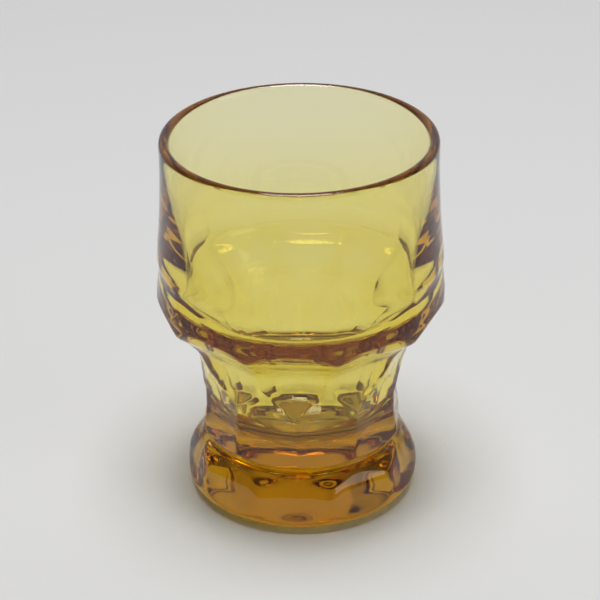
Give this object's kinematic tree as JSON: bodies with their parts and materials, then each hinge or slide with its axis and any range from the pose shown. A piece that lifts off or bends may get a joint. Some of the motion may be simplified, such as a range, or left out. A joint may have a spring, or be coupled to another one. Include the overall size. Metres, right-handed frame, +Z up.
{
  "type": "shot glass",
  "caption": "Small footed tumbler of clear amber pressed glass: smooth round barrel, faceted honeycomb waist and a thick ten-sided foot.",
  "frame": {"origin": "centre of the foot's underside, on the surface the glass stands on", "axes": "+Z up along the glass's axis, from the foot to the rim; one facet of the belly row faces -Y"},
  "size_m": [0.053, 0.0528, 0.0706],
  "materials": {
    "amber_glass": "fire-polished clear amber glass"
  },
  "bodies": {
    "root": {"tumbler": "amber_glass"}
  },
  "joints": []
}
